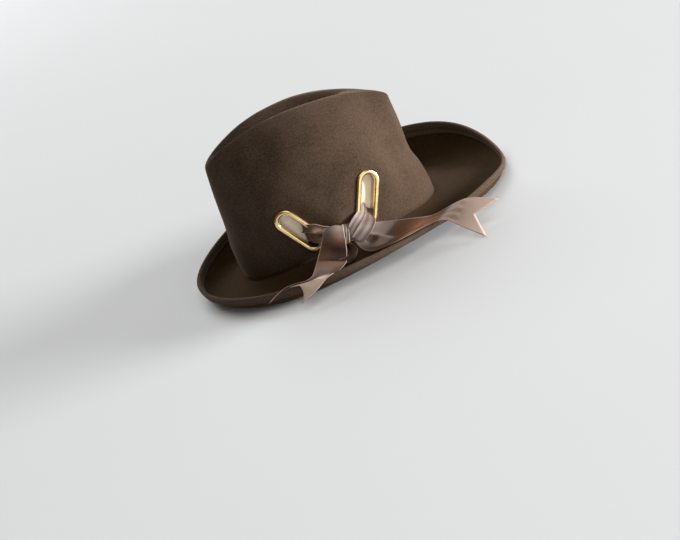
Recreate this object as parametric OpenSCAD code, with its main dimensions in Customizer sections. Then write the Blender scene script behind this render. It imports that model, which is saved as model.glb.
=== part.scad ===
// Felt hat with a creased crown, a rolled brim and a ribbon tied through two eyelets.
// The front of the hat points along +X, its trimmed right side along -Y, and it stands on Z = 0.

/* [Head line] */
// Middle of the head oval to the front of the crown foot
foot_front = 102; // [98:1:106]
// Middle of the head oval to the back of the crown foot
foot_back = 105.5; // [101:1:109]
// Half the width of the crown foot
foot_half_w = 84; // [81:1:87]
// Height of the crown foot at the front
foot_rise_front = 5; // [4.5:0.5:7]
// Height of the crown foot at the back
foot_rise_back = 6.5; // [5:0.5:8]
// Height of the crown foot at the sides
foot_rise_side = 22; // [19:1:24]

/* [Felt] */
// Thickness of the crown felt
felt = 2.2; // [1.8:0.1:2.4]
// Thickness of the brim felt
brim_felt = 2.2; // [1.8:0.1:2.6]

/* [Crown] */
// Height of the highest point of the roof line
roof_top = 146.5; // [138:1:152]
// Distance of that point in front of the middle
roof_top_x = -12; // [-20:1:0]
// Fall of the roof line to its front corner
roof_fall_front = 36.5; // [32:0.5:42]
// Fall of the roof line to its back corner
roof_fall_back = 21; // [16:1:26]
// Middle to the front corner of the roof
ridge_front = 99; // [95:0.5:102]
// Middle to the back corner of the roof
ridge_back = 92; // [88:0.5:95]
// Half the distance between the two ridges
ridge_half_w = 23; // [20:0.5:26]
// Depth of the crease between the ridges
crease_depth = 27; // [20:1:32]
// Depth of the two pinches beside the front
pinch_depth = 9; // [4:0.5:11]

/* [Brim] */
// Middle to the front of the rim
rim_front = 176; // [170:1:182]
// Middle to the back of the rim
rim_back = 150.5; // [145:1:156]
// Half the width of the brim
rim_half_w = 131.5; // [128:0.5:135]
// Height of the rim at the sides
rim_rise_side = 23; // [20:0.5:26]
// Height of the rim at the front
rim_rise_front = 8; // [7:0.5:11]
// Height of the rim at the back
rim_rise_back = 19; // [15:0.5:22]
// Lift of the left rim over the right one, each way
rim_tilt = 4; // [2:0.5:5]
// Extra lift of the left front quarter over the right one, each way
rim_twist = 8; // [5:0.5:9]
// Extra lift of the left side of the rim
rim_left = 10; // [6:0.5:12]
// Size of the upward roll at the rim
roll = 26; // [23:0.5:28]
// Lift of the lowest line of the brim on the right, beside the front tail
brim_lift = 7.5; // [4:0.5:8]

/* [Edge binding] */
// Reach of the binding on each face of the brim, as a share of the rolled part
binding_reach = 0.34; // [0.28:0.02:0.4]
// Thickness of the binding
binding_t = 0.9; // [0.6:0.1:1.2]
// Diameter of the wire inside the edge
wire_d = 1.2; // [0.9:0.1:1.5]

/* [Inside] */
// Height of the brim collar that stands inside the crown
collar_h = 12; // [9:0.5:13]
// Width of the sweatband
sweatband_w = 27; // [24:1:32]
// Thickness of the sweatband
sweatband_t = 0.8; // [0.6:0.1:1]
// Thickness of the lining
lining_t = 0.5; // [0.4:0.1:0.6]
// Gap between the crown felt and the lining
lining_gap = 4; // [3.8:0.1:4.6]

/* [Eyelets] */
// Angle of the pair around the crown, from the front
eyelet_mid_a = -88.6; // [-91:0.2:-86]
// Angle from the middle of the pair to each eyelet
eyelet_half_a = 20; // [19:0.2:22]
// Height of the eyelet middles
eyelet_z = 51; // [49:0.5:56]
// Lean of each eyelet from the upright
eyelet_lean = 33; // [28:1:38]
// Length between the two end centres of an eyelet
eyelet_core = 31.5; // [28:0.5:34]
// Width of the opening
eyelet_open = 12.8; // [12:0.2:13.6]
// Width of the rounded flange
flange_w = 5; // [4.4:0.1:5.4]

/* [Ribbon] */
// Thickness of the ribbon
ribbon_t = 0.6; // [0.5:0.1:0.7]
// Half the width of the gathered ribbon in the eyelets
lead_half_w = 5.5; // [4.5:0.25:6]
// Half the length of the knot
knot_half = 10; // [8:0.5:11]
// Radius of the knot
knot_r = 4.6; // [4:0.1:4.8]
// Depth of the swallow tail cut, as a share of the tail
tail_notch = 0.17; // [0.12:0.01:0.22]

/* [Hidden] */
// Clearance between layers that lie on each other
gap = 0.35;
// Number of sections around the hat
ring_n = 72;
// Number of sections around the lining
lining_n = 36;
// Points along each span of a crown section, from the foot to the crease
crown_spans = [7, 4, 3, 3, 3, 2, 2];
// Fall of the felt edge at the outside of the crown foot, at the sides
foot_bevel = 0.8;
// Shares of the crown height where its wall is shaped
wall_h = [0.22, 0.43, 0.68, 0.93];
// Inset of the wall at those heights at the front, the back and the sides
wall_in_front = [-0.5, 6.5, 3.5, 4.0];
wall_in_back = [-1.5, 4.0, 7.5, 11.5];
wall_in_side = [1, 5, 17, 40];
// Share of the pinch that each height takes, its angle and its spread
pinch_share = [0, 0.33, 1, 0.9];
pinch_a = 36;
pinch_spread = 17;
// Ends of the crease, and how far it fades out beyond each end and before it
crease_front = 44;
crease_back = 60;
crease_fade_front = [18, 34];
crease_fade_back = [28, 8];
// Squareness of the rim outline in front and behind
rim_square_front = 2.04;
rim_square_back = 1.96;
// Height of the middle of the brim felt at its lowest
trough = brim_felt / 2 + 0.1;
// Angle where the lowest line is lifted most, and how far around the lift fades out
brim_lift_a = 290;
brim_lift_spread = 58;
// Clearance between the brim, the wire and the binding
edge_gap = 0.2;
// Length that the wire and the binding add to the brim edge
edge_add = 2 * edge_gap + wire_d + binding_t;
// Thickness and width of a thread
stitch_t = 0.4;
stitch_w = 0.6;
// Clearance of a stitch over the face that it is sewn on
stitch_lift = 0.4;
// Layers inside the crown, as insets from its outer face
collar_low = 2.4;
collar_in = felt + gap;
collar_out = collar_in + brim_felt - 0.4;
sweat_in = collar_out + stitch_t + 2 * gap;
sweat_lean = 5.8;
lining_in = felt + lining_gap;
lining_foot = collar_h + 3.5;
// Share of the crease by which the lining runs lower than the ridges
lining_low = 0.6;
// Row of the crown section where the side lining ends and the tip begins
seam_row = 17;
seam_gap_z = 0.5;
// Eyelet barrel
barrel_t = 0.8;
barrel_r = eyelet_open / 2;
flange_r = barrel_r + flange_w;
slot_r = barrel_r + barrel_t + 0.3;
washer_t = 0.9;
washer_w = 4;
washer_n = -felt - washer_t - gap;
barrel_n = washer_n - 0.25;
// Felt is pressed flat around each eyelet up to the first radius and free past the second
press_r = flange_r + 8;
press_free = press_r + 9;
// Ribbon layers behind the crown
run_in = -barrel_n + 0.5 + ribbon_t / 2;
run_half_w = 7;
lead_a = -9;
// Knot
knot_z = 33;
knot_a = eyelet_mid_a + 0.6;
knot_off = knot_r + 2.4;
knot_lean = 21.5;

function lerp(a, b, t) = a + (b - a) * t;
function unit(v) = v / norm(v);
function flat(v) = [v.x, v.y, 0];
function ease(x, a, b) = let (t = max(0, min(1, (x - a) / (b - a)))) t * t * (3 - 2 * t);

// Point t of span i of a smooth curve that is led by the points c
function span(c, i, t) =
    let (a = i == 1 ? c[0] : (c[i - 1] + c[i]) / 2)
    let (b = i == len(c) - 2 ? c[i + 1] : (c[i] + c[i + 1]) / 2)
    (1 - t) * (1 - t) * a + 2 * t * (1 - t) * c[i] + t * t * b;

// Whole curve with n points to each span
function curve(c, n) = curve_by(c, [for (i = [2 : len(c) - 1]) n]);
// Whole curve with its own number of points to each span
function curve_by(c, counts) = [
    for (i = [1 : len(c) - 2]) let (n = counts[i - 1]) for (k = [0 : n - 1]) span(c, i, k / n),
    c[len(c) - 1]
];

// Height of the crown foot
function foot_z(a) =
    foot_rise_side * pow(sin(a), 2) + (cos(a) > 0 ? foot_rise_front : foot_rise_back) * pow(cos(a), 2);

// Height of the roof line without its crease
function roof_z(x) =
    roof_top
    - roof_fall_front * pow(max(0, (x - roof_top_x) / (ridge_front + 5.5 - roof_top_x)), 2.24)
    - roof_fall_back * pow(max(0, (roof_top_x - x) / (ridge_back + 3 + roof_top_x)), 2.15);

// Depth of the crease along the roof
function crease(x) =
    crease_depth
    * ease(-x, -crease_front - crease_fade_front[0], -crease_front + crease_fade_front[1])
    * ease(x, -crease_back - crease_fade_back[0], -crease_back + crease_fade_back[1]);

// Points that lead the crown section at angle a, inset by o from the outer face.
// The ridges are lowered by a share of the crease, so that an inner layer can pass under it.
function crown_lead(a, o, share = 0) =
    let (c = cos(a), s = sin(a), ahead = c > 0)
    let (len_x = ahead ? foot_front : foot_back)
    let (z0 = foot_z(a) - (o == 0 ? foot_bevel * s * s : 0))
    let (wide = ridge_half_w * (1 - 0.6 * ease(c, 0, 1)) * (1 - o / ridge_half_w))
    let (ex = ((ahead ? ridge_front : ridge_back) - o) * c, ey = wide * s)
    let (ez = roof_z(ex) - o - share * crease(ex))
    let (cx = (ahead ? crease_front : crease_back) * c)
    let (dent = exp(-pow((abs(a > 180 ? a - 360 : a) - pinch_a) / pinch_spread, 2)))
    concat(
        [[(len_x - o) * c, (foot_half_w - o) * s, z0]],
        [for (k = [0 : 3])
            let (in_x = ahead ? wall_in_front[k] : wall_in_back[k], p = pinch_depth * pinch_share[k] * dent)
            [(len_x - in_x - o) * c - 0.35 * p,
             (foot_half_w - wall_in_side[k] - o) * s - sign(s) * p,
             lerp(foot_z(a), ez, wall_h[k])]],
        [[ex, ey, ez]],
        [for (r = [[0.4, 0.1], [0.75, 0.86], [1, 1]])
            let (x = lerp(ex, cx, r[0]))
            [x, ey * (1 - r[0]), roof_z(x) - o - lerp(share, 1, r[1]) * crease(x)]]
    );

// Crown section before the felt is pressed flat under the eyelets
function crown_free(a, o, share = 0) = curve_by(crown_lead(a, o, share), crown_spans);

// Point of a rising section at height z, or its foot below that
function at_height(c, z) = z <= c[0].z ? c[0] : [
    for (i = [0 : len(c) - 2])
        if (c[i].z <= z && c[i + 1].z > z) lerp(c[i], c[i + 1], (z - c[i].z) / (c[i + 1].z - c[i].z))
][0];
function wall_free(a, z) = at_height(crown_free(a, 0), z);

// Frame of an eyelet: middle, axis up the slot, axis towards the knot, outward normal
function eyelet_frame(side) =
    let (a = eyelet_mid_a + side * eyelet_half_a + 360, z = eyelet_z)
    let (along = wall_free(a + 2, z) - wall_free(a - 2, z), up = wall_free(a, z + 3) - wall_free(a, z - 3))
    let (n = unit(cross(along, up)), v = unit(up), h = cross(v, n))
    let (axis = unit(v * cos(eyelet_lean) + h * side * sin(eyelet_lean)))
    [wall_free(a, z), axis, cross(axis, n) * -side, n];
rear = eyelet_frame(-1);
front = eyelet_frame(1);
function local(f, a, b, n) = f[0] + f[1] * a + f[2] * b + f[3] * n;

// Share of the pressing that point p gets from eyelet f, and the shift that brings it to the plane
function press(f, p, o) =
    let (d = (p - f[0]) * f[3], q = p - f[0] - f[3] * d)
    let (u = abs(q * f[1]), v = q * f[2], r = norm([max(0, u - eyelet_core / 2), v]))
    let (share = (1 - ease(r, press_r, press_free)) * ease(p.z, foot_rise_side - 2, foot_rise_side + 1))
    abs(d) > 20 ? [0, 0, 0] : f[3] * (-o - d) * share;

// Finished crown section
function crown_curve(a, o, share = 0) =
    [for (p = crown_free(a, o, share)) p + press(rear, p, o) + press(front, p, o)];
function wall_at(a, o, dz) = at_height(crown_curve(a, o), foot_z(a) + dz);

// Height of the rim
function rim_z(a) =
    let (c = cos(a), s = sin(a))
    rim_rise_side + rim_tilt * s + rim_left * pow(max(0, s), 4) + (c > 0
        ? 3.3 * pow(sin(2 * a), 2) - (rim_rise_side - rim_rise_front) * pow(c, 10)
          + rim_twist * sin(2 * a) * pow(c, 0.36)
        : -(rim_rise_side - rim_rise_back) * c * c);

// Top of the rim
function rim_pt(a) =
    let (c = cos(a), s = sin(a), n = c > 0 ? rim_square_front : rim_square_back)
    let (r = 1 / pow(pow(abs(c), n) + pow(abs(s), n), 1 / n))
    [(c > 0 ? rim_front : rim_back) * c * r, rim_half_w * s * r, rim_z(a)];

// Direction from the crown foot to the rim, and the distance between them
function brim_way(a) = flat(rim_pt(a) - crown_lead(a, 0)[0]);

// Lift of the lowest line of the brim
function lift_at(a) = brim_lift * ease(1 - abs(a - brim_lift_a) / brim_lift_spread, 0, 1);

// Points that lead the middle of the brim felt, each as distance from the foot and height
function brim_lead(a) =
    let (w = norm(brim_way(a)), z0 = foot_z(a), zr = rim_z(a) - edge_add, low = trough + lift_at(a))
    let (z1 = lerp(z0, low, 0.72), z3 = lerp(low, zr, 0.12))
    [[-collar_in - brim_felt / 2 + 0.2, z0 - brim_felt / 2 - gap],
     [1, z0 - brim_felt / 2 - gap - 0.2],
     [0.22 * w, z1],
     [w - 0.95 * roll, (low - 0.125 * (z1 + z3)) / 0.75],
     [w - 0.12 * roll, z3],
     [w, zr]];

// Rows of the brim as [span, place]; the last three carry the binding
brim_rows = [
    [1, 0.35], [1, 0.7], [2, 0], [2, 0.5], [3, 0], [3, 0.25], [3, 0.5], [3, 0.75],
    [4, 0], [4, 0.35], [4, 1 - binding_reach], [4, 1 - binding_reach / 2], [4, 1]
];
// Rows that stand flat on the table
flat_rows = [6, 7];
edge_row = len(brim_rows) - 3;

// Row k of the brim at angle a as [middle point, upper normal, outward tangent]
function brim_row(a, k) =
    let (c = brim_lead(a), u = unit(brim_way(a)), f = flat(crown_lead(a, 0)[0]))
    let (i = brim_rows[k][0], t = brim_rows[k][1], p = span(c, i, t))
    let (d = unit(span(c, i, min(1, t + 0.02)) - span(c, i, max(0, t - 0.02))))
    [f + u * p[0] + [0, 0, p[1]], [-d[1] * u.x, -d[1] * u.y, d[0]], [d[0] * u.x, d[0] * u.y, d[1]]];

// Lower face of the brim, level where it stands
function brim_under(a, k) =
    let (r = brim_row(a, k), p = r[0] - r[1] * brim_felt / 2)
    [p.x, p.y, k == flat_rows[0] || k == flat_rows[1] ? lift_at(a) : max(0, p.z)];

// Solid between closed sections that follow each other around the hat
module ring_of(sections) {
    n = len(sections);
    m = len(sections[0]);
    polyhedron(
        [for (s = sections) each s],
        [for (j = [0 : n - 1], k = [0 : m - 1])
            let (j2 = (j + 1) % n, k2 = (k + 1) % m)
            each [[j * m + k, j2 * m + k, j2 * m + k2], [j * m + k, j2 * m + k2, j * m + k2]]],
        convexity = 10
    );
}

// Shell between an outer and an inner set of sections that close along the crease
module cap_of(outer, inner) {
    n = len(outer);
    m = len(outer[0]);
    off = n * m;
    last = m - 1;
    polyhedron(
        concat([for (s = outer) each s], [for (s = inner) each s]),
        concat(
            [for (j = [0 : n - 1], k = [0 : last - 1])
                let (a = j * m + k, b = ((j + 1) % n) * m + k)
                each [[a, a + 1, b + 1], [a, b + 1, b]]],
            [for (j = [0 : n - 1], k = [0 : last - 1])
                let (a = off + j * m + k, b = off + ((j + 1) % n) * m + k)
                each [[a, b + 1, a + 1], [a, b, b + 1]]],
            [for (j = [0 : n - 1])
                let (a = j * m, b = ((j + 1) % n) * m)
                each [[a, b, off + b], [a, off + b, off + a]]]
        ),
        convexity = 10
    );
}

// Sections of the crown from row k up; the last point of each pair of sides is shared
function crown_sections(n, o, k, share = 0) = [
    for (j = [0 : n - 1])
        let (c = crown_curve(j * 360 / n, o, share), top = len(c) - 1)
        [for (i = [k : top]) i < top ? c[i] : crown_curve(min(j, n - j) * 360 / n, o, share)[top]]
];

// Thin strip between a left and a right edge, bulged by b, with a swallow tail cut of share cut
module strip(left, right, b, cut, n) {
    m = 4;
    l = curve(left, n);
    r = curve(right, n);
    rows = len(l) - 1;
    mid = [for (i = [0 : rows])
        let (i0 = max(0, i - 1), i1 = min(rows, i + 1))
        let (v = l[i1] + r[i1] - l[i0] - r[i0])
        (l[i] + r[i]) / 2 + unit(cross(v, r[i] - l[i])) * b];
    function along(c, x) = let (i = min(rows - 1, floor(x))) lerp(c[i], c[i + 1], x - i);
    function at(i, s) =
        let (x = i * (1 - cut * (1 - abs(s))))
        along(l, x) * s * (s - 1) / 2 + along(mid, x) * (1 - s * s) + along(r, x) * s * (s + 1) / 2;
    pts = [for (i = [0 : rows]) [for (k = [0 : m]) at(i, 2 * k / m - 1)]];
    function lengthwise(i, k) = pts[min(rows, i + 1)][k] - pts[max(0, i - 1)][k];
    function crosswise(i, k) = pts[i][min(m, k + 1)] - pts[i][max(0, k - 1)];
    nrm = [for (i = [0 : rows]) [for (k = [0 : m]) unit(cross(lengthwise(i, k), crosswise(i, k)))]];
    w = m + 1;
    off = (rows + 1) * w;
    function side(a, b) = [[a, b, off + b], [a, off + b, off + a]];
    polyhedron(
        [for (h = [0.5, -0.5], i = [0 : rows], k = [0 : m]) pts[i][k] + nrm[i][k] * h * ribbon_t],
        concat(
            [for (i = [0 : rows - 1], k = [0 : m - 1])
                let (q = i * w + k) each [[q, q + w, q + w + 1], [q, q + w + 1, q + 1]]],
            [for (i = [0 : rows - 1], k = [0 : m - 1])
                let (q = off + i * w + k) each [[q, q + w + 1, q + w], [q, q + 1, q + w + 1]]],
            [for (i = [0 : rows - 1]) each side(i * w + w, i * w)],
            [for (i = [0 : rows - 1]) each side(i * w + m, i * w + w + m)],
            [for (k = [0 : m - 1]) each side(k, k + 1)],
            [for (k = [0 : m - 1]) each side(rows * w + k + 1, rows * w + k)]
        ),
        convexity = 6
    );
}

// Small bar of length l at p along t, lying on the face with normal n
module stitch(p, t, n, l) {
    x = unit(t);
    y = unit(cross(n, x));
    z = cross(x, y);
    multmatrix([[x.x, y.x, z.x, p.x], [x.y, y.y, z.y, p.y], [x.z, y.z, z.z, p.z], [0, 0, 0, 1]])
        translate([-l / 2, -stitch_w / 2, 0]) cube([l, stitch_w, stitch_t]);
}

// Children placed in the frame of an eyelet, slot along X and outward along Z
module in_frame(f) {
    y = cross(f[3], f[1]);
    multmatrix([
        [f[1].x, y.x, f[3].x, f[0].x], [f[1].y, y.y, f[3].y, f[0].y],
        [f[1].z, y.z, f[3].z, f[0].z], [0, 0, 0, 1]]) children();
}

// Ring of a 2D section around the slot
module slot_ring() {
    h = eyelet_core / 2;
    translate([h, 0, 0]) rotate(-90) rotate_extrude(angle = 180) children();
    translate([-h, 0, 0]) rotate(90) rotate_extrude(angle = 180) children();
    for (m = [0, 1]) mirror([0, m, 0])
        translate([-h, 0, 0]) rotate([90, 0, 90]) linear_extrude(eyelet_core) children();
}

// Slot of radius r through the felt
module slot_cut(r) {
    h = eyelet_core / 2;
    translate([0, 0, -12]) linear_extrude(24) {
        translate([h, 0]) circle(r, $fn = 12);
        translate([-h, 0]) circle(r, $fn = 12);
        translate([-h, -r]) square([eyelet_core, 2 * r]);
    }
}

module crown() {
    color("#4a372b") difference() {
        cap_of(crown_sections(ring_n, 0, 0), crown_sections(ring_n, felt, 0));
        in_frame(rear) slot_cut(slot_r);
        in_frame(front) slot_cut(slot_r);
    }
}

// Height of the collar, cut down behind the eyelets
function collar_top(a) =
    let (d = abs((a > 180 ? a - 360 : a) - eyelet_mid_a))
    lerp(collar_low, collar_h, ease(d, eyelet_half_a + 4, eyelet_half_a + 14));

module brim() {
    last = len(brim_rows) - 1;
    color("#463429") ring_of([for (j = [0 : ring_n - 1])
        let (a = j * 360 / ring_n)
        concat(
            [wall_at(a, collar_out, collar_top(a)), wall_at(a, collar_in, collar_top(a))],
            [crown_lead(a, collar_in)[0] - [0, 0, gap]],
            [for (k = [0 : last]) let (r = brim_row(a, k)) r[0] + r[1] * brim_felt / 2],
            [for (k = [last : -1 : 0]) brim_under(a, k)],
            [crown_lead(a, collar_out)[0] - [0, 0, gap + brim_felt]]
        )]);
}

// Distance of the binding faces from the middle of the brim felt
bind_in = brim_felt / 2 + edge_gap;
bind_out = bind_in + binding_t;
module brim_binding() {
    e = 2 * edge_gap + wire_d;
    color("#3d2c22") ring_of([for (j = [0 : ring_n - 1])
        let (a = j * 360 / ring_n, r = [for (k = [0 : 2]) brim_row(a, edge_row + k)])
        let (p = r[2][0], n = r[2][1], t = r[2][2])
        concat(
            [for (k = [0 : 2]) r[k][0] + r[k][1] * bind_out],
            [for (q = [[0.2, 0.75], [binding_t, 0], [0.2, -0.75]]) p + t * (e + q[0]) + n * bind_out * q[1]],
            [for (k = [2 : -1 : 0]) r[k][0] - r[k][1] * bind_out],
            [for (k = [0 : 2]) r[k][0] - r[k][1] * bind_in],
            [p + t * e - n * bind_in * 0.7, p + t * e + n * bind_in * 0.7],
            [for (k = [2 : -1 : 0]) r[k][0] + r[k][1] * bind_in]
        )]);
}

module brim_wire() {
    color("#9a9a9a") ring_of([for (j = [0 : ring_n - 1])
        let (r = brim_row(j * 360 / ring_n, edge_row + 2), c = r[0] + r[2] * (edge_gap + wire_d / 2))
        [for (k = [0 : 4]) c + (r[1] * cos(k * 72) - r[2] * sin(k * 72)) * wire_d / 2]]);
}

// One stitch on each face of the binding in each half of a section
module binding_stitches() {
    color("#2c1f17") for (j = [0 : 2 * ring_n - 1], f = [1, -1]) {
        a = (floor(j / 2) + (j % 2 == 0 ? 0.25 : 0.75)) * 360 / ring_n;
        r = brim_row(a, edge_row);
        q = brim_row(a, edge_row + 1);
        t = brim_row(a + 1, edge_row)[0] - brim_row(a - 1, edge_row)[0];
        stitch(lerp(r[0], q[0], 0.3) + r[1] * f * (bind_out + stitch_lift), t, r[1] * f, 3.6);
    }
}

// Stitches through the crown and the collar, on the inner face of the collar where it has its full height
module headline_stitches() {
    h = collar_h * 0.6;
    color("#2c1f17") for (j = [0 : ring_n - 1]) {
        a = (j + 0.5) * 360 / ring_n;
        p = wall_at(a, collar_out + 0.3, h);
        t = wall_at(a + 1, collar_out, h) - wall_at(a - 1, collar_out, h);
        if (collar_top(a) == collar_h) stitch(p, t, -flat([p.x, p.y * 1.5, 0]), 5);
    }
}

// Inset of the sweatband at height dz over the crown foot
function sweat_at(a, o, dz) =
    wall_at(a, sweat_in + o + sweat_lean * max(0, dz) / sweatband_w, max(0, dz)) + [0, 0, min(0, dz)];
module sweatband() {
    low = -1.5;
    color("#3a2b22") ring_of([for (j = [0 : ring_n - 1])
        let (a = j * 360 / ring_n)
        concat(
            [for (h = [sweatband_w + low, sweatband_w / 2, 1, low]) sweat_at(a, sweatband_t, h)],
            [for (h = [low, 1, sweatband_w / 2, sweatband_w + low]) sweat_at(a, 0, h)]
        )]);
}

// Point of the inner face of the sweatband a little over its lower edge
function sweat_seam(a) = lerp(sweat_at(a, sweatband_t, 1), sweat_at(a, sweatband_t, sweatband_w / 2), 0.08);
module sweatband_stitches() {
    color("#221812") for (j = [0 : ring_n - 1]) {
        a = j * 360 / ring_n;
        p = sweat_seam(a);
        n = -unit(flat([p.x, p.y * 1.5, 0]));
        stitch(p + 2 * stitch_lift * n, sweat_seam(a + 2) - sweat_seam(a - 2), n, 4.5);
    }
}

// Section of the lining, inset by o from its outer face
function lining_curve(a, o) = crown_curve(a, lining_in + o, lining_low);
// Lining wall at row k, or at the lining foot for row 0
function lining_row(c, a, k) = k == 0 ? at_height(c, foot_z(a) + lining_foot) : c[k];
first_row = 5;
module lining_side() {
    color("#e6dcc4") ring_of([for (j = [0 : lining_n - 1])
        let (a = j * 360 / lining_n, c = lining_curve(a, 0), d = lining_curve(a, lining_t))
        let (rows = concat([0], [for (k = [first_row : 2 : seam_row]) k]))
        concat(
            [for (i = [len(rows) - 1 : -1 : 0]) lining_row(d, a, rows[i])],
            [for (k = rows) lining_row(c, a, k)]
        )]);
}

module lining_tip() {
    color("#e9e0ca") translate([0, 0, seam_gap_z]) cap_of(
        crown_sections(lining_n, lining_in, seam_row, lining_low),
        crown_sections(lining_n, lining_in + lining_t, seam_row, lining_low));
}

// Overcast stitches that hold the tip to the side lining
module lining_stitches() {
    color("#d8ccb0") for (j = [0 : lining_n - 1]) {
        c = lining_curve(j * 360 / lining_n, lining_t + 2 * gap);
        stitch(lerp(c[seam_row], c[seam_row + 1], 0.04), c[seam_row + 1] - c[seam_row - 1],
            -flat([c[seam_row].x, c[seam_row].y, 0]), 3);
    }
}

module eyelet(f) {
    color("#c9a14a") in_frame(f) slot_ring() {
        translate([barrel_r, barrel_n]) square([barrel_t, gap - barrel_n]);
        intersection() {
            translate([barrel_r + flange_w / 2, gap]) circle(d = flange_w, $fn = 48);
            translate([barrel_r, gap]) square([flange_w, flange_w]);
        }
    }
}
module eyelet_washer(f) {
    color("#b08c3e") in_frame(f) slot_ring()
        translate([barrel_r + barrel_t + 0.2, washer_n]) square([washer_w, washer_t]);
}
module eyelet_rear() { eyelet(rear); }
module eyelet_front() { eyelet(front); }
module eyelet_washer_rear() { eyelet_washer(rear); }
module eyelet_washer_front() { eyelet_washer(front); }

// Middle of the knot, its axis and the direction across it
knot = let (p = wall_free(knot_a + 360, knot_z)) p + unit(flat(p)) * knot_off;
knot_axis = [sin(knot_lean), 0, cos(knot_lean)];
knot_side = [cos(knot_lean), 0, -sin(knot_lean)];

// Hidden run of the ribbon behind the felt, from one eyelet to the other
module ribbon_inner_run() {
    n = 6;
    a0 = eyelet_mid_a - eyelet_half_a + 360;
    secs = [for (i = [0 : n]) crown_curve(a0 + 2 * eyelet_half_a * (0.14 + 0.72 * i / n), run_in)];
    z = eyelet_z + lead_a;
    upper = [for (c = secs) at_height(c, z + run_half_w)];
    lower = [for (c = secs) at_height(c, z - run_half_w)];
    color("#6b5044") strip(upper, lower, 0, 0, 2);
}

// Gathered ribbon from an eyelet over its flange to the knot
module ribbon_lead(f, side) {
    w = f[1] * lead_half_w;
    over = gap + flange_w / 2 + 3.6;
    end = knot + knot_side * side * (knot_r + 0.7) + knot_axis * 1.5 + [0, 1, 0];
    mid = [
        local(f, lead_a, -1, -run_in + ribbon_t + 0.3),
        local(f, lead_a, -1, 1),
        local(f, lead_a - 1, 2.5, over),
        local(f, lead_a - 2, flange_r - 2, over),
        local(f, lead_a - 2, flange_r + 3, over - 1),
        end
    ];
    half = [w, w, w, w, lerp(w, knot_axis * knot_half * 0.55, 0.6), knot_axis * knot_half * 0.55];
    color("#6f554a") strip(
        [for (i = [0 : 5]) mid[i] - half[i] * side], [for (i = [0 : 5]) mid[i] + half[i] * side], 0, 0, 3);
}
module ribbon_rear_lead() { ribbon_lead(rear, -1); }
module ribbon_front_lead() { ribbon_lead(front, 1); }

module ribbon_knot() {
    half = [[1, 0], [1, 0.35], [0.8, 0.7], [0.5, 1], [0, 1]];
    shape = curve([for (k = [-4 : 4]) [half[abs(k)].x, sign(k) * half[abs(k)].y]], 3);
    y = cross(knot_axis, knot_side);
    color("#664c40") multmatrix([
        [knot_side.x, y.x, knot_axis.x, knot.x], [knot_side.y, y.y, knot_axis.y, knot.y],
        [knot_side.z, y.z, knot_axis.z, knot.z], [0, 0, 0, 1]])
        rotate_extrude() polygon([for (p = shape) [p.x * knot_r, p.y * knot_half]]);
}

// Places on the knot, over the rim and above the table that lead the two tails
function by_knot(v) = knot + v;
function by_rim(a, v) = let (p = rim_pt(a) + v) [p.x, p.y, max(ribbon_t + 0.5, p.z)];
module ribbon_rear_tail() {
    color("#7b6256") strip(
        [by_knot([-16.6, -2, 17]), by_knot([-24.3, -7, 8.6]), by_knot([-33.5, -24, 0]),
         by_rim(255, [-0.3, -2.5, 5]), by_rim(247.5, [-4, -1, 4]), by_rim(240, [-12.6, -5, -5])],
        [by_knot([0.5, -2, 9.9]), by_knot([-3.3, -9, -4.5]), by_knot([-15.3, -23, -12.4]),
         by_rim(262.5, [-0.8, -2.9, 3]), by_rim(255, [1.3, -11.5, -3.7]),
         by_rim(247.5, [-2.2, -20.2, -13.5])],
        1.2, tail_notch, 3);
}
module ribbon_front_tail() {
    color("#7d6458") strip(
        [by_knot([6.4, -1, 6.4]), by_knot([29, -5, 0.8]), by_rim(292.5, [-13, 16, 12.2]),
         by_rim(292.5, [4.2, 6.9, 9]), by_rim(300, [-1.2, -4.6, 6.4]), by_rim(307.5, [-1.1, -17.1, 11]),
         by_rim(315, [-0.7, -32.5, 10.9]), by_rim(315, [18.3, -44.5, 2])],
        [by_knot([4.1, -1, -11.1]), by_knot([13.3, -20, -15]), by_rim(283, [-1.1, -4, 1]),
         by_rim(292.5, [-1.3, -4.1, 2.4]), by_rim(300, [-3.4, -6.6, 2.4]), by_rim(307.5, [-9.4, -25.1, -2]),
         by_rim(315, [-17.8, -52.5, -6.5]), by_rim(315, [-7.1, -72.5, -15])],
        1, tail_notch, 3);
}

crown();
brim();
brim_binding();
brim_wire();
binding_stitches();
headline_stitches();
sweatband();
sweatband_stitches();
lining_side();
lining_tip();
lining_stitches();
eyelet_rear();
eyelet_front();
eyelet_washer_rear();
eyelet_washer_front();
ribbon_inner_run();
ribbon_rear_lead();
ribbon_front_lead();
ribbon_knot();
ribbon_rear_tail();
ribbon_front_tail();
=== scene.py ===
import bmesh
import bpy
import numpy as np
from mathutils import Matrix, noise


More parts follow.
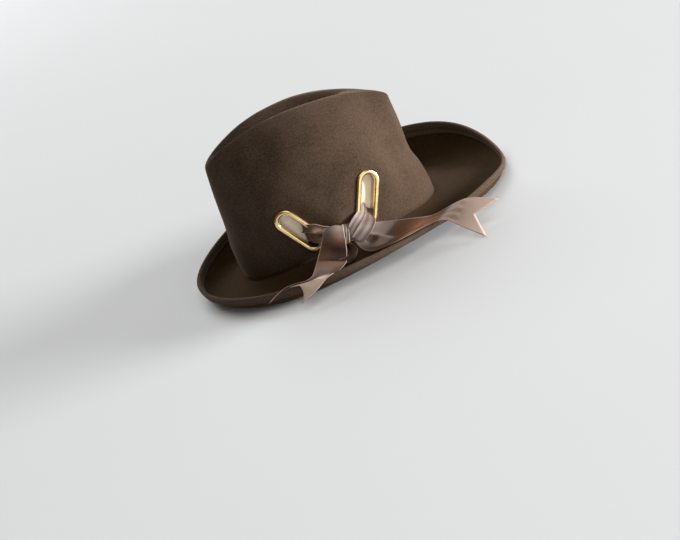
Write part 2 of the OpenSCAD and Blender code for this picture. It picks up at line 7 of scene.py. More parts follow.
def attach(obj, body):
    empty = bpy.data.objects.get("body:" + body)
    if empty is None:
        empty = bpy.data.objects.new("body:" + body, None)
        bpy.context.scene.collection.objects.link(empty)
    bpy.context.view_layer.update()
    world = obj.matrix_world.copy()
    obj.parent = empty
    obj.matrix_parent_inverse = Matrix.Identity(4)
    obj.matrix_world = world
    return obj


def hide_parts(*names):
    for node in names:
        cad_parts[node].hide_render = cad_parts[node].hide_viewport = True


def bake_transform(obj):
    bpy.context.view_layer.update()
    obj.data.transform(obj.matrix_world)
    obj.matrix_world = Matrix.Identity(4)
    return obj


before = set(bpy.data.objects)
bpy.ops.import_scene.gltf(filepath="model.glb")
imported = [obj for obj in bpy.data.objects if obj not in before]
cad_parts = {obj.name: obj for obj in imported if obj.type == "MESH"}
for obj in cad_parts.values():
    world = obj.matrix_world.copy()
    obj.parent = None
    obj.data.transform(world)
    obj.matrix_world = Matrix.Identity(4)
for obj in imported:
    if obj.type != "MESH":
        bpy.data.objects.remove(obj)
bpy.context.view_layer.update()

# Camera
# The hat is seen from its trimmed right side, a little from above, with its front tipped down to the right.
# Places and sizes in this file are in millimetres, in the frame of the solids, and MM turns them to metres.
MM = 0.001
PHOTO_W = 680
FOCAL_PX = 1550
SENSOR_W = 36.0
scene = bpy.context.scene
camera_aim = np.array([-17.75, -12.14, -28.96])
camera_distance = 1550.0
camera_side, camera_rise, camera_roll = np.radians([1.43, 21.99, 26.03])
back = np.array([
    np.sin(camera_side) * np.cos(camera_rise),
    -np.cos(camera_side) * np.cos(camera_rise),
    np.sin(camera_rise),
])
level = np.array([np.cos(camera_side), np.sin(camera_side), 0.0])
upright = np.cross(back, level)
camera_right = level * np.cos(camera_roll) - upright * np.sin(camera_roll)
camera_up = level * np.sin(camera_roll) + upright * np.cos(camera_roll)
camera = bpy.data.objects.new("camera", bpy.data.cameras.new("camera"))
camera.data.sensor_width = SENSOR_W
camera.data.lens = SENSOR_W * FOCAL_PX / PHOTO_W
camera.data.clip_end = 50
turned = Matrix(np.column_stack([camera_right, camera_up, back]).tolist()).to_4x4()
turned.translation = (camera_aim + back * camera_distance) * MM
camera.matrix_world = turned
scene.collection.objects.link(camera)
scene.camera = camera

# Crown
# One felt cone, steamed and pulled over a block, with a long crease on top and a pinch on each side of
# the front. The felt is about 2 mm thick, and two long slots for the eyelets are cut in its right side.
felt_t = 2.2
foot_front, foot_back, foot_half_w = 102, 105.5, 84
foot_rise_front, foot_rise_back, foot_rise_side = 5, 6.5, 22
foot_bevel = 0.8
ridge_front, ridge_back, ridge_half_w, ridge_narrowing = 99, 92, 23, 0.6
roof_top, roof_top_x = 146.5, -12
roof_fall_front, roof_fall_back = 36.5, 21
roof_run_front, roof_run_back = ridge_front + 5.5 - roof_top_x, ridge_back + 3 + roof_top_x
roof_bend_front, roof_bend_back = 2.24, 2.15
crease_deep, crease_front, crease_back = 27, 44, 60
crease_fade_front, crease_fade_back = (18, 34), (28, 8)
crease_walls = ((0.4, 0.1), (0.75, 0.86), (1, 1))
pinch_depth, pinch_a, pinch_spread, pinch_pull = 9, 36, 17, 0.35
pinch_share = (0, 0.33, 1, 0.9)
wall_h = (0.22, 0.43, 0.68, 0.93)
wall_in_front = (-0.5, 6.5, 3.5, 4.0)
wall_in_back = (-1.5, 4.0, 7.5, 11.5)
wall_in_side = (1, 5, 17, 40)
solid_steps = (7, 4, 3, 3, 3, 2, 2)
crown_steps = (14, 10, 9, 9, 10, 8, 8)
around = 240
eyelet_mid_a, eyelet_half_a, eyelet_z, eyelet_lean = -88.6, 20, 51, 33
eyelet_core, eyelet_open, flange_w = 31.5, 12.8, 5
barrel_r = eyelet_open / 2
barrel_t = 0.8
flange_r = barrel_r + flange_w
slot_r = barrel_r + barrel_t + 0.3
press_r, press_free, press_deep = flange_r + 3, flange_r + 30, 20
press_low = (foot_rise_side - 2, foot_rise_side + 1)


def lerp(a, b, t):
    return a + (b - a) * t


def unit(v):
    return v / np.maximum(np.linalg.norm(v, axis=-1, keepdims=True), 1e-12)


def ease(x, a, b):
    """Smooth step from 0 at a to 1 at b."""
    t = np.clip((x - a) / (b - a), 0, 1)
    return t * t * (3 - 2 * t)


def bell(x, width):
    """Smooth hump of height 1 at 0."""
    return np.exp(-(x / width) ** 2)


def heading(a):
    """Cosine and sine of the angles a, in degrees from the front towards the left side."""
    return np.cos(np.radians(a)), np.sin(np.radians(a))


def signed(a):
    """Angles from 0 to 360 as angles from -180 to 180."""
    return np.where(a > 180, a - 360, a)


def lead_points(rows):
    """Leading points of many sections, from rows of their coordinates."""
    return np.stack([np.stack(np.broadcast_arrays(*r), -1) for r in rows], -2)


def spline(lead, steps):
    """Smooth curve led by the points of the last axis but one, with its own number of points to each span."""
    k = lead.shape[-2]
    rows = []
    for i in range(1, k - 1):
        p = lead[..., i, :]
        a = lead[..., 0, :] if i == 1 else (lead[..., i - 1, :] + p) / 2
        b = lead[..., k - 1, :] if i == k - 2 else (p + lead[..., i + 1, :]) / 2
        for t in np.arange(steps[i - 1]) / steps[i - 1]:
            rows.append((1 - t) ** 2 * a + 2 * t * (1 - t) * p + t * t * b)
    rows.append(lead[..., k - 1, :])
    return np.stack(rows, axis=-2)


def foot_height(a):
    c, s = heading(a)
    return foot_rise_side * s * s + np.where(c > 0, foot_rise_front, foot_rise_back) * c * c


def roof_height(x):
    ahead = np.maximum(0, (x - roof_top_x) / roof_run_front)
    behind = np.maximum(0, (roof_top_x - x) / roof_run_back)
    return roof_top - roof_fall_front * ahead ** roof_bend_front - roof_fall_back * behind ** roof_bend_back


def crease_at(x):
    before = ease(-x, -crease_front - crease_fade_front[0], -crease_front + crease_fade_front[1])
    behind = ease(x, -crease_back - crease_fade_back[0], -crease_back + crease_fade_back[1])
    return crease_deep * before * behind


def crown_lead(a, inset, share=0.0):
    """Points that lead the crown sections at the angles a, inset from the outer face."""
    c, s = heading(a)
    ahead = c > 0
    length = np.where(ahead, foot_front, foot_back)
    bevel = foot_bevel * s * s if inset == 0 else 0
    wide = ridge_half_w * (1 - ridge_narrowing * ease(c, 0, 1)) * (1 - inset / ridge_half_w)
    ridge_x = (np.where(ahead, ridge_front, ridge_back) - inset) * c
    ridge_z = roof_height(ridge_x) - inset - share * crease_at(ridge_x)
    crease_x = np.where(ahead, crease_front, crease_back) * c
    dent = bell(np.abs(signed(a)) - pinch_a, pinch_spread)
    rows = [((length - inset) * c, (foot_half_w - inset) * s, foot_height(a) - bevel)]
    for k in range(4):
        in_x = np.where(ahead, wall_in_front[k], wall_in_back[k])
        pinch = pinch_depth * pinch_share[k] * dent
        rows.append((
            (length - in_x - inset) * c - pinch_pull * pinch,
            (foot_half_w - wall_in_side[k] - inset) * s - np.sign(s) * pinch,
            lerp(foot_height(a), ridge_z, wall_h[k]),
        ))
    rows.append((ridge_x, wide * s, ridge_z))
    for run, fall in crease_walls:
        x = lerp(ridge_x, crease_x, run)
        rows.append((x, wide * s * (1 - run), roof_height(x) - inset - lerp(share, 1, fall) * crease_at(x)))
    return lead_points(rows)


def at_height(section, z):
    """Point of a rising section at height z."""
    top = section[:, 2].argmax() + 1
    return np.array([np.interp(z, section[:top, 2], section[:top, i]) for i in range(3)])


def wall_free(a, z):
    """Point of the crown wall before it is pressed flat at the eyelets."""
    return at_height(spline(crown_lead(np.array([a]), 0), solid_steps)[0], z)


def eyelet_frame(side):
    """Middle of an eyelet, the axis up its slot, the axis towards the knot, and the outward normal."""
    a = eyelet_mid_a + side * eyelet_half_a + 360
    along = wall_free(a + 2, eyelet_z) - wall_free(a - 2, eyelet_z)
    up = wall_free(a, eyelet_z + 3) - wall_free(a, eyelet_z - 3)
    n = unit(np.cross(along, up))
    v = unit(up)
    c, s = heading(eyelet_lean)
    axis = unit(v * c + np.cross(v, n) * side * s)
    return wall_free(a, eyelet_z), axis, np.cross(axis, n) * -side, n


rear_frame, front_frame = eyelet_frame(-1), eyelet_frame(1)


def pressed(points, inset):
    """Points of the crown with the felt pressed flat round each eyelet."""
    out = points.copy()
    for mid, axis, towards, n in (rear_frame, front_frame):
        off = points - mid
        d = off @ n
        r = np.hypot(np.maximum(0, np.abs(off @ axis) - eyelet_core / 2), off @ towards)
        share = (1 - ease(r, press_r, press_free)) * (np.abs(d) < press_deep)
        share = share * ease(points[..., 2], *press_low)
        out += ((-inset - d) * share)[..., None] * n
    return out


def crown_curve(a, inset, steps, share=0.0):
    return pressed(spline(crown_lead(a, inset, share), steps), inset)


def grid_faces(rows, columns, start=0, turn=False, join_rows=False):
    """Quads of a grid of points that is stored row by row."""
    i, k = np.meshgrid(np.arange(rows if join_rows else rows - 1), np.arange(columns - 1), indexing="ij")
    a, b = i * columns + k, (i + 1) % rows * columns + k
    quads = np.stack([a, b, b + 1, a + 1], -1).reshape(-1, 4) + start
    return quads[:, ::-1] if turn else quads


def weld(mesh):
    """Joins points that lie on each other, and turns all faces outwards."""
    near = 0.002 * MM
    bm = bmesh.new()
    bm.from_mesh(mesh)
    bmesh.ops.remove_doubles(bm, verts=bm.verts, dist=near)
    bmesh.ops.dissolve_degenerate(bm, edges=bm.edges, dist=near)
    bmesh.ops.recalc_face_normals(bm, faces=bm.faces)
    bm.to_mesh(mesh)
    bm.free()


def make_piece(name, points, faces, finish, welded=False):
    """Smooth mesh object from points in millimetres."""
    mesh = bpy.data.meshes.new(name)
    points = np.reshape(points, (-1, 3)) * MM
    mesh.from_pydata(points.tolist(), [], [list(map(int, f)) for f in faces])
    mesh.materials.append(finish)
    mesh.update()
    mesh.shade_smooth()
    if welded:
        weld(mesh)
    piece = bpy.data.objects.new(name, mesh)
    scene.collection.objects.link(piece)
    return piece


def coordinates(piece, field="co"):
    values = np.zeros(len(piece.data.vertices) * 3, np.float32)
    piece.data.vertices.foreach_get(field, values)
    return values.reshape(-1, 3) / (MM if field == "co" else 1)


def uneven(points, size):
    """Smooth noise from -1 to 1 with features of the given size."""
    values = [noise.noise(p) for p in (points / size).reshape(-1, 3).tolist()]
    return np.reshape(values, points.shape[:-1])


def linear(code):
    """Linear colour of an sRGB hex value."""
    srgb = np.array([int(code[i:i + 2], 16) for i in (1, 3, 5)]) / 255
    return (*np.where(srgb <= 0.04045, srgb / 12.92, ((srgb + 0.055) / 1.055) ** 2.4), 1.0)


def add(tree, kind, settings=None, inputs=None, to=None, out=0):
    """Adds a node. An input takes a value or another node's socket, and one output may go to a socket."""
    made = tree.nodes.new("ShaderNode" + kind)
    for key, value in (settings or {}).items():
        setattr(made, key, value)
    for key, value in (inputs or {}).items():
        if isinstance(value, bpy.types.NodeSocket):
            tree.links.new(value, made.inputs[key])
        else:
            made.inputs[key].default_value = value
    if to:
        tree.links.new(made.outputs[out], to)
    return made


def tint(tree, shader, share, deep, lit):
    """Base colour between two colours."""
    mixed = {"Factor": share, 6: deep, 7: lit}
    add(tree, "Mix", {"data_type": "RGBA"}, mixed, shader.inputs["Base Color"], out=2)


def raise_up(tree, shader, height, strength, high):
    """Bumps of the given height in millimetres."""
    bumps = {"Height": height, "Strength": strength, "Distance": high * MM}
    add(tree, "Bump", None, bumps, shader.inputs["Normal"])


def new_finish(name, sockets):
    """New material with its node tree and its surface shader, whose own sockets take the values."""
    finish = bpy.data.materials.new(name)
    finish.use_nodes = True
    shader = finish.node_tree.nodes["Principled BSDF"]
    for key, value in sockets.items():
        shader.inputs[key].default_value = value
    return finish, finish.node_tree, shader


def felt(name, nap_light, nap_deep, glow):
    """Brushed fur felt: a short dull nap that mottles the colour faintly and glows at grazing angles.
    Real fibres are far finer than a pixel, so the clumps are drawn 1.7 mm wide."""
    clump, cloud, cloud_share = 1.7 * MM, 26 * MM, 0.32
    finish, tree, shader = new_finish(name, {
        "Roughness": 0.95, "Specular IOR Level": 0.06, "Sheen Weight": glow, "Sheen Roughness": 0.4,
        "Sheen Tint": linear("#d6c2b4")})
    place = add(tree, "TexCoord").outputs["Object"]
    nap = add(tree, "TexNoise", inputs={
        "Vector": place, "Scale": 1 / clump, "Detail": 4.0, "Roughness": 0.65})
    clouds = add(tree, "TexNoise", inputs={"Vector": place, "Scale": 1 / cloud, "Detail": 3.0})
    mottle = add(tree, "Math", {"operation": "MULTIPLY_ADD"},
                 {0: clouds.outputs[0], 1: cloud_share, 2: nap.outputs[0]})
    share = add(tree, "MapRange", inputs={"Value": mottle.outputs[0], "From Min": 0.46, "From Max": 0.88})
    tint(tree, shader, share.outputs[0], linear(nap_deep), linear(nap_light))
    raise_up(tree, shader, nap.outputs[0], strength=0.45, high=0.3)
    return finish


def make_shell(name, outer, inner, finish):
    """Closed shell between two sets of sections that meet along the crease."""
    n, m = outer.shape[:2]
    off = n * m
    foot = np.array([(j * m, (j + 1) % n * m, off + (j + 1) % n * m, off + j * m) for j in range(n)])
    outside, inside = grid_faces(n, m, turn=True, join_rows=True), grid_faces(n, m, off, join_rows=True)
    return make_piece(name, [outer, inner], np.concatenate([outside, inside, foot]), finish, welded=True)


def slot_places(frame_of, r, z):
    """Points round a slot at a distance r from its core line and a height z over the felt."""
    arc, straight = 40, 24
    mid, axis, towards, n = frame_of
    h = eyelet_core / 2
    bend = np.linspace(-np.pi / 2, np.pi / 2, arc + 1)
    run = np.linspace(h, -h, straight + 1)[1:-1]
    way = [(h, np.cos(t), np.sin(t)) for t in bend] + [(x, 0, 1) for x in run]
    way = np.array(way + [(-x, -c, -s) for x, c, s in way])
    along, beside = way[:, :1] + r * way[:, 1:2], r * way[:, 2:]
    return mid + along * axis + beside * np.cross(n, axis) + z * n


def make_tubes(name, rings, finish):
    """Tubes through rings of points, closed at both ends."""
    count, m, k = rings.shape[:3]
    quads = [(i * k + q, i * k + (q + 1) % k, (i + 1) * k + (q + 1) % k, (i + 1) * k + q)
             for i in range(m - 1) for q in range(k)]
    ends = [tuple(range(k))[::-1], tuple(range((m - 1) * k, m * k))]
    faces = [tuple(j * m * k + v for v in f) for j in range(count) for f in quads + ends]
    return make_piece(name, rings, faces, finish)


crown_felt = felt("fur_felt_crown", "#483b31", "#2f251d", 0.18)
angles = np.arange(around) * 360 / around
outer, inner = crown_curve(angles, 0, crown_steps), crown_curve(angles, felt_t, crown_steps)

# The ridge on the right side of the crease is pinched to a sharper edge, and the felt falls away behind it.
ridge_row = sum(crown_steps[:4]) + crown_steps[4] // 2
lip_high, fall_deep, fall_rows, lip_rows = 2.4, 5.0, 7, 4
row = np.arange(outer.shape[1])[None, :] - ridge_row
on_side = ease(-heading(angles)[1][:, None], 0.1, 0.6) * ease(-outer[..., 0], -80, 10)
lip = lip_high * bell(row, lip_rows) - fall_deep * bell(row - fall_rows, lip_rows)
outer[..., 2] += lip * on_side
inner[..., 2] += lip * on_side
crown = make_shell("crown_felt", outer, inner, crown_felt)

# The blocked felt keeps a soft valley along the crease, slight waves and a shallow dimple behind the ridge.
valley_half_w, valley_low, valley_passes = 7, 100, 10
bm = bmesh.new()
bm.from_mesh(crown.data)
valley = [v for v in bm.verts if abs(v.co.y) < valley_half_w * MM and v.co.z > valley_low * MM]
for _ in range(valley_passes):
    bmesh.ops.smooth_vert(bm, verts=valley, factor=0.5, use_axis_x=True, use_axis_y=True, use_axis_z=True)
bm.to_mesh(crown.data)
bm.free()
points, normals = coordinates(crown), coordinates(crown, "normal")
dimple_at, dimple_r, dimple_deep = np.array([-37, -44, 124]), 17, 2.6
dimple = dimple_deep * bell(np.linalg.norm(points - dimple_at, axis=1), dimple_r)
crown_heart = [0, 0, 70]
outward = np.sign(np.einsum("ij,ij->i", normals, points - crown_heart))
waves = sum(high * uneven(points, size) for high, size in ((0.35, 38), (0.12, 9)))
near_eyelet = np.minimum(*[np.linalg.norm(points - f[0], axis=1) for f in (rear_frame, front_frame)])
waves *= ease(near_eyelet, 25, 45) * ease(points[:, 2], 24, 40)
points = points + normals * (outward * (waves - dimple))[:, None]
crown.data.vertices.foreach_set("co", (points * MM).astype(np.float32).ravel())
crown.data.update()
cutters, cut_deep = [], 12
for frame_of in (rear_frame, front_frame):
    ends = [slot_places(frame_of, slot_r, z) for z in (-cut_deep, cut_deep)]
    cutters.append(make_tubes("cutter", np.array([ends]), crown_felt))
    cut = crown.modifiers.new("cut", "BOOLEAN")
    cut.operation, cut.solver, cut.object = "DIFFERENCE", "EXACT", cutters[-1]
slotted = bpy.data.meshes.new_from_object(crown.evaluated_get(bpy.context.evaluated_depsgraph_get()))
crown.modifiers.clear()
crown.data = slotted
slotted.shade_smooth()
for cutter in cutters:
    bpy.data.objects.remove(cutter)
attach(crown, "hat")
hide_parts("crown")

# Brim
# A second piece of the same felt, pressed into a wide roll. Its inner edge turns up as a collar inside
# the crown, where it is sewn, and its rim stands higher on the left side than on the right.
brim_t = 2.2
rim_front, rim_back, rim_half_w = 176, 150.5, 131.5
rim_square_front, rim_square_back = 2.04, 1.96
rim_rise_side, rim_rise_front, rim_rise_back = 23, 8, 19
rim_arch, rim_tilt, rim_twist, rim_left = 3.3, 4, 8, 10
front_power, twist_power, left_power = 10, 0.36, 4
slope_run, slope_fall = 0.22, 0.72
roll, roll_from, roll_to, roll_low = 26, 0.95, 0.12, 0.12
lift_high, lift_a, lift_spread = 7.5, 290, 58
swell_out, swell_from, swell_to = 10, (292, 318), (324, 356)
clearance = 0.35
edge_gap, wire_d, binding_t = 0.2, 1.2, 0.9
edge_add = 2 * edge_gap + wire_d + binding_t
trough = brim_t / 2 + 0.1
collar_h, collar_low = 12, 2.4
collar_in = felt_t + clearance
collar_out = collar_in + brim_t - 0.4
collar_dip_a = (eyelet_half_a + 4, eyelet_half_a + 14)
brim_from = 0.35


def lift_at(a):
    """Rise of the lowest line of the brim beside the front tail of the ribbon."""
    return lift_high * ease(1 - np.abs(a % 360 - lift_a) / lift_spread, 0, 1)


def swell_at(a):
    """How far the roll is drawn out past the rim on the right of the front, where the rim turns inwards."""
    return swell_out * ease(a % 360, *swell_from) * (1 - ease(a % 360, *swell_to))


def rim_point(a):
    """Top of the rim at the angles a."""
    c, s = heading(a)
    ahead = c > 0
    n = np.where(ahead, rim_square_front, rim_square_back)
    r = (np.abs(c) ** n + np.abs(s) ** n) ** (-1 / n)
    twice = np.sin(2 * np.radians(a))
    front = rim_arch * twice ** 2 - (rim_rise_side - rim_rise_front) * c ** front_power
    front = front + rim_twist * twice * np.abs(c) ** twist_power
    rise = np.where(ahead, front, -(rim_rise_side - rim_rise_back) * c * c)
    rise = rise + rim_left * np.maximum(0, s) ** left_power
    x = np.where(ahead, rim_front, rim_back) * c * r
    return np.stack([x, rim_half_w * s * r, rim_rise_side + rim_tilt * s + rise], -1)


def brim_middle(a, steps):
    """Middle of the brim felt from the crown to the rim: points, upper normals and outward tangents."""
    foot, rim = crown_lead(a, 0)[:, 0], rim_point(a)
    way = (rim - foot) * [1, 1, 0]
    w, u = np.linalg.norm(way, axis=1), unit(way)
    z0, zr = foot_height(a), rim[:, 2] - edge_add
    low = trough + lift_at(a)
    z1, z3 = lerp(z0, low, slope_fall), lerp(low, zr, roll_low)
    # The fourth leading point is as low as makes the curve itself touch the height low.
    z2 = (low - 0.125 * (z1 + z3)) / 0.75
    o = np.zeros_like(w)
    lead = lead_points((
        (o - collar_in - brim_t / 2 + 0.2, z0 - brim_t / 2 - clearance),
        (o + 1, z0 - brim_t / 2 - clearance - 0.2),
        (slope_run * w, z1),
        (w - roll_from * roll, z2),
        (w - roll_to * roll + swell_at(a), z3),
        (w, zr),
    ))
    line = spline(lead, steps)[:, int(brim_from * steps[0]):]
    slope = unit(np.gradient(line, axis=1))
    points = (foot * [1, 1, 0])[:, None] + u[:, None] * line[..., :1] + line[..., 1:] * np.array([0, 0, 1.0])
    normals = np.concatenate([-slope[..., 1:] * u[:, None, :2], slope[..., :1]], -1)
    tangents = np.concatenate([slope[..., :1] * u[:, None, :2], slope[..., 1:]], -1)
    return points, normals, tangents


def wall_at(a, inset, dz, share=0.0):
    """Points inside the crown wall at a height over the crown foot."""
    sections = crown_curve(a, inset, crown_steps, share)
    z = foot_height(a) + dz
    return np.array([at_height(s, h) for s, h in zip(sections, z)])


def make_ring(name, sections, finish):
    """Closed ring of closed sections."""
    n, m = sections.shape[:2]
    closed = np.concatenate([sections, sections[:, :1]], 1)
    return make_piece(name, closed, grid_faces(n, m + 1, join_rows=True), finish, welded=True)


brim_steps = (20, 12, 16, 24)
mid, normal, _ = brim_middle(angles, brim_steps)
collar_top = lerp(collar_low, collar_h, ease(np.abs(signed(angles) - eyelet_mid_a), *collar_dip_a))
wave_high, wave_size, lowest = 0.3, 30, 0.02
upwards = np.array([0, 0, 1.0])
waves = wave_high * uneven(mid, wave_size)[..., None] * upwards
waves *= ease(np.arange(mid.shape[1]), 2, 10)[None, :, None]
upper = mid + normal * brim_t / 2 + np.maximum(0, waves)
lower = mid - normal * brim_t / 2
lower[..., 2] = np.maximum(lower[..., 2], lowest)
sections = np.concatenate([
    wall_at(angles, collar_out, collar_top)[:, None],
    wall_at(angles, collar_in, collar_top)[:, None],
    (crown_lead(angles, collar_in)[:, 0] - clearance * upwards)[:, None],
    upper,
    lower[:, ::-1],
    (crown_lead(angles, collar_out)[:, 0] - (clearance + brim_t) * upwards)[:, None],
], 1)
# The brim felt is drawn darker than the crown felt: painted shade for the shade that lies on the brim's roll.
brim_felt = felt("fur_felt_brim_painted_shade", "#3e2f1e", "#2c2014", 0.06)
brim = make_ring("brim_felt", sections, brim_felt)
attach(brim, "hat")
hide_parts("brim")

# Brim wire
# A drawn steel wire inside the bound edge, which lets the brim keep the roll it is given. It is hidden
# all round by the binding. Drawing leaves it a plain grey gloss that varies a little along the wire.
steel, tree, shader = new_finish("drawn_steel_wire", {"Base Color": linear("#a9a9ab"), "Metallic": 1.0})
place = add(tree, "TexCoord").outputs["Object"]
drawn = add(tree, "TexNoise", inputs={"Vector": place, "Scale": 1 / (0.6 * MM)})
add(tree, "MapRange", inputs={
    "Value": drawn.outputs[0], "To Min": 0.25, "To Max": 0.45
}, to=shader.inputs["Roughness"])
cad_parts["brim_wire"].data.materials.clear()
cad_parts["brim_wire"].data.materials.append(steel)

# Edge binding
# A strip of thinner felt folded over the wired edge and sewn down on both faces. It is drawn paler than the
# brim felt, as painted light for the light that reaches the rim's outer face from below.
# The seam draws it in along its middle, and its two raw edges show as fine steps.
binding_felt = felt("pressed_felt_binding_painted_light", "#52453b", "#3d322a", 0.15)
edge_steps = (*brim_steps[:-1], 4 * brim_steps[-1])
edge_share = 0.2
edge_rows = int(round(edge_share * edge_steps[-1])) + 1
sewn, sewn_half, sewn_deep = 0.52, 0.1, 0.6
raw_edge_t, raw_edge_w = 0.2, 0.08
ripple_high, ripple_size = 0.12, 6
fold_a, fold_full_a, fold_r, inner_fold = 60, 75, 1.5, 0.7
reach = 2 * edge_gap + wire_d
bind_in = brim_t / 2 + edge_gap
bind_out = bind_in + binding_t
mid, normal, tangent = (v[:, -edge_rows:] for v in brim_middle(angles, edge_steps))
p, n, t = mid[:, -1:], normal[:, -1:], tangent[:, -1:]
across = np.linspace(0, 1, edge_rows)[None, :, None]
face = lerp(bind_in + raw_edge_t, bind_out, ease(across, 0, raw_edge_w))
face = face - sewn_deep * bell(across - sewn, sewn_half)
ripple = ripple_high * uneven(mid, ripple_size)[..., None]
c, s = heading(np.linspace(fold_a, -fold_a, 7)[None, :, None])
rounded = p + t * (reach + binding_t - (1 - c) * fold_r) + n * s * bind_out / heading(fold_full_a)[1]
sections = np.concatenate([
    mid + normal * (face + ripple),
    rounded,
    (mid - normal * (face - ripple * 0.5))[:, ::-1],
    mid - normal * bind_in,
    p + t * reach - n * bind_in * inner_fold,
    p + t * reach + n * bind_in * inner_fold,
    (mid + normal * bind_in)[:, ::-1],
], 1)
binding = make_ring("brim_binding_felt", sections, binding_felt)
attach(binding, "hat")
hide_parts("brim_binding")

# Binding stitches
# One row of lockstitch on each face, in thread that matches the felt.
# Each stitch is a short bar of twisted thread that sinks into the felt at both ends.
thread_d, thread_taper, thread_proud = 0.7, 0.75, 0.35
stitch_count, stitch_l = 144, 4.8


def cotton(name, lit, deep):
    """Twisted cotton thread: a dull line with a slanting twist, drawn 1 mm apart so that it shows."""
    finish, tree, shader = new_finish(name, {"Roughness": 0.8})
    place = add(tree, "TexCoord").outputs["Object"]
    twist = add(tree, "TexWave", {"bands_direction": "DIAGONAL"},
                {"Vector": place, "Scale": np.pi / 10 / (1.0 * MM), "Distortion": 1.0})
    tint(tree, shader, twist.outputs["Fac"], linear(deep), linear(lit))
    return finish


def sew(name, places, along, facing, length, finish, sink=0.25):
    """Row of stitches at the places, lying along one direction on a face that looks the other way."""
    along = unit(np.asarray(along))
    side = unit(np.cross(facing, along))
    out = np.cross(along, side)
    sides = np.radians(np.arange(6) * 60)
    rings = []
    for x in (-1, -0.8, -0.4, 0, 0.4, 0.8, 1):
        r = thread_d / 2 * (1 - thread_taper * abs(x) ** 4)
        middle = places + along * x * length / 2 + out * (thread_d * thread_proud - sink * 2 * x ** 4)
        rings.append([middle + (side * np.cos(q) + out * np.sin(q)) * r for q in sides])
    return make_tubes(name, np.array(rings).transpose(2, 0, 1, 3), finish)


stitch_a = (np.arange(stitch_count) + 0.5) * 360 / stitch_count
mid, normal, _ = brim_middle(stitch_a, edge_steps)
row = mid.shape[1] - edge_rows + int(round(sewn * (edge_rows - 1)))
mid, normal = mid[:, row], normal[:, row]
before, behind = (brim_middle(stitch_a + a, edge_steps)[0][:, row] for a in (0.5, -0.5))
sewn_at = bind_out - sewn_deep
felt_thread = cotton("brown_cotton_thread", "#2e2119", "#170f0a")
seats = np.concatenate([mid + normal * sewn_at, mid - normal * sewn_at])
faces_out = np.concatenate([normal, -normal])
along = np.concatenate([before - behind] * 2)
binding_thread = sew("binding_thread", seats, along, faces_out, stitch_l, felt_thread)
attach(binding_thread, "hat")
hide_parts("binding_stitches")

# Head line stitches
# Long hand stitches in the same thread, which join the collar of the brim to the crown.
# They lie behind the sweatband and leave out the stretch below the eyelets.
seam_count, seam_l, seam_h = 72, 5, collar_h * 0.6
inwards = np.array([-1, -1.5, 0])
seam_a = (np.arange(seam_count) + 0.5) * 360 / seam_count
headline_a = seam_a[np.abs(signed(seam_a) - eyelet_mid_a) >= collar_dip_a[1]]
seats = wall_at(headline_a, collar_out + 0.3, seam_h)
ahead = wall_at(headline_a + 1, collar_out, seam_h) - wall_at(headline_a - 1, collar_out, seam_h)
seam = sew("headline_thread", seats, ahead, seats * inwards, seam_l, felt_thread, sink=0.1)
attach(seam, "hat")
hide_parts("headline_stitches")

# Lining
# Cream satin in two pieces: a side piece that is eased into the crown with soft upright folds, and an
# oval tip. It hangs free of the felt and shows through the eyelets.
lining_t, lining_gap = 0.5, 4
lining_in = felt_t + lining_gap
lining_low = 0.6
lining_foot = collar_h + 3.5
lining_steps = (14, 10, 8, 8, 8, 6, 6)
seam_row = sum(lining_steps[:4])
lining_around = 180
fold_count, fold_drift, fold_deep = 23, 2.2, 1.3


def satin(name, lit, deep):
    """Rayon lining satin: long floats that give a soft gloss, with slight slubs along the weft."""
    slub_l, slub_flat = 6 * MM, 9
    finish, tree, shader = new_finish(name, {"Roughness": 0.42, "Sheen Weight": 0.3})
    place = add(tree, "TexCoord").outputs["Object"]
    stretched = add(tree, "Mapping", inputs={"Vector": place, "Scale": (1, 1, slub_flat)})
    slub = add(tree, "TexNoise", inputs={"Vector": stretched.outputs[0], "Scale": 1 / slub_l, "Detail": 3.0})
    tint(tree, shader, slub.outputs[0], linear(deep), linear(lit))
    raise_up(tree, shader, slub.outputs[0], strength=0.25, high=0.2)
    return finish


lining_satin = satin("cream_lining_satin", "#fbf5e6", "#f0e6cf")
angles = np.arange(lining_around) * 360 / lining_around
outer = crown_curve(angles, lining_in, lining_steps, lining_low)
inner = crown_curve(angles, lining_in + lining_t, lining_steps, lining_low)
low_out = wall_at(angles, lining_in, lining_foot, lining_low)
low_in = wall_at(angles, lining_in + lining_t, lining_foot, lining_low)
above = [k for k in range(2, seam_row + 1) if (outer[:, k, 2] > low_out[:, 2] + 3).all()]
outer_side = np.concatenate([low_out[:, None], outer[:, above]], 1)
inner_side = np.concatenate([low_in[:, None], inner[:, above]], 1)
into_crown = unit((inner_side - outer_side) * [1, 1, 0.2])
drift = fold_drift * np.sin(np.radians(angles) * 5)
folds = 0.5 + 0.5 * np.sin(np.radians(angles) * fold_count + drift)
upright = np.sin(np.linspace(0.15, np.pi - 0.1, outer_side.shape[1]))
folds = into_crown * (folds[:, None, None] * upright[None, :, None] * fold_deep)
sections = np.concatenate([outer_side + folds, (inner_side + folds)[:, ::-1]], 1)
lining_side = make_ring("lining_side_satin", sections, lining_satin)
tip_lift = np.array([0, 0, 0.5])
outer_tip, inner_tip = outer[:, seam_row:] + tip_lift, inner[:, seam_row:] + tip_lift
lining_tip = make_shell("lining_tip_satin", outer_tip, inner_tip, lining_satin)
for piece, node, flat in (
        (lining_side, "lining_side", (0.095, 0.52)), (lining_tip, "lining_tip", (0.062, 0.185))):
    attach(piece, "hat")
    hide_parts(node)

